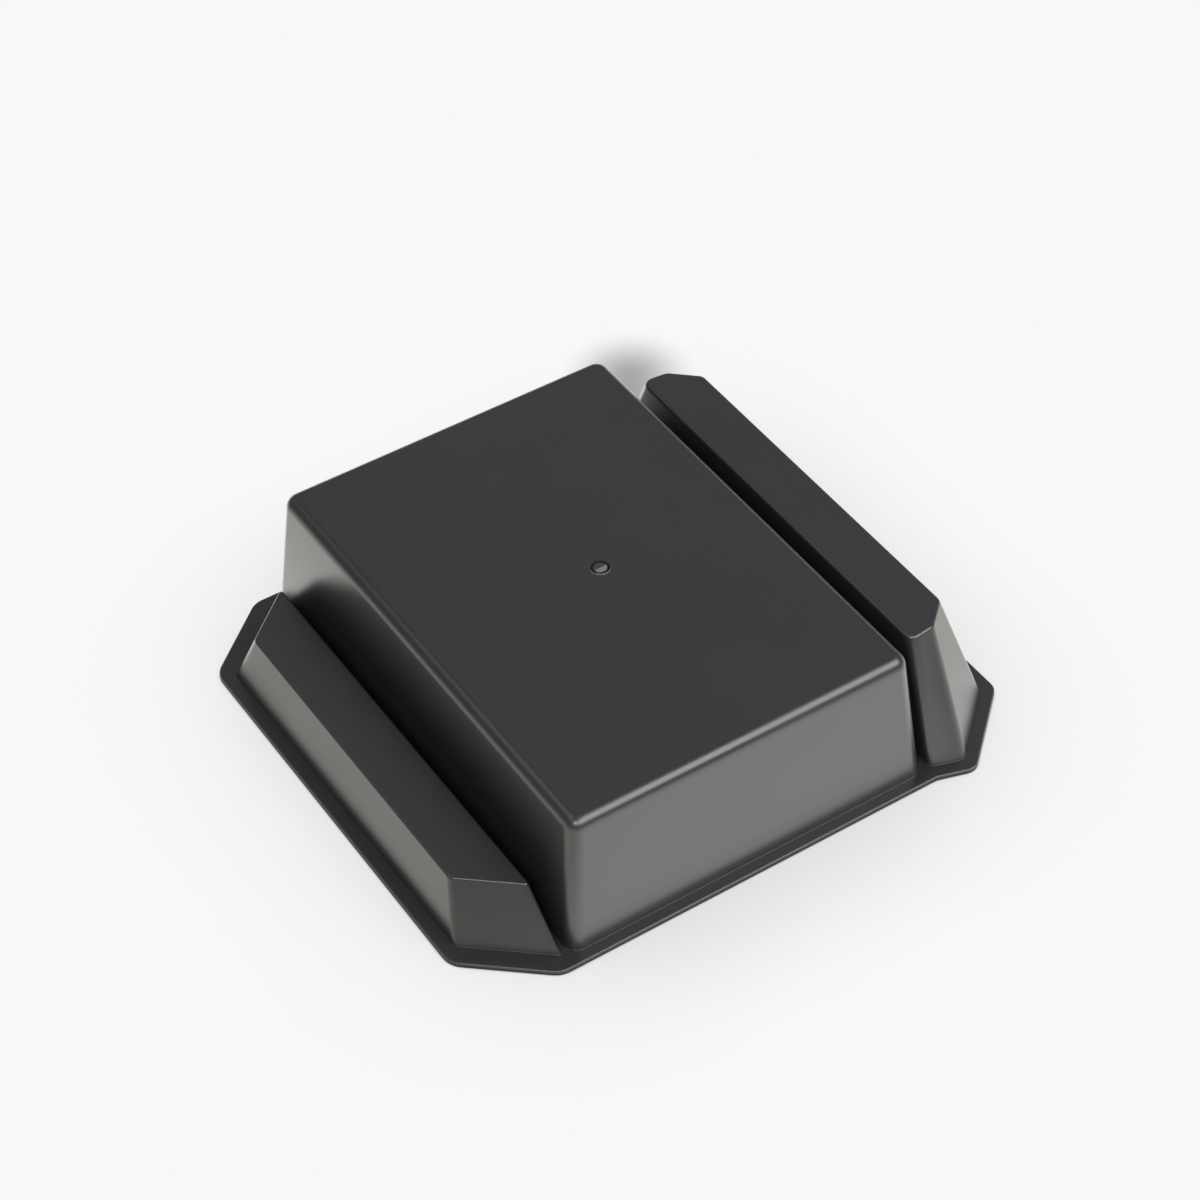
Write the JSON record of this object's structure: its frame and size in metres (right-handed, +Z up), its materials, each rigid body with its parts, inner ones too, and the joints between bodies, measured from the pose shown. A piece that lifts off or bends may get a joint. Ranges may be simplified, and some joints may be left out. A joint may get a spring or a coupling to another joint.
{
  "type": "moulded storage tray",
  "caption": "One-piece moulded tray lying upside down: a deep central well between a low and a tall side trough, on a thin rim with cut-off corners.",
  "frame": {"origin": "middle of the rim's bounding box on the rim plane, under the gate mark in the middle of the moulding", "axes": "tray upside down as it lies on its rim: +Z up from the rim plane through the well's bottom, +X towards the tall trough, Y along the troughs with front and back mirror images"},
  "size_m": [0.2142, 0.205, 0.054],
  "materials": {
    "charcoal_plastic": "satin fine-textured moulding, slightly scuffed at the gate mark"
  },
  "bodies": {
    "root": {"tray": "charcoal_plastic"}
  },
  "joints": []
}
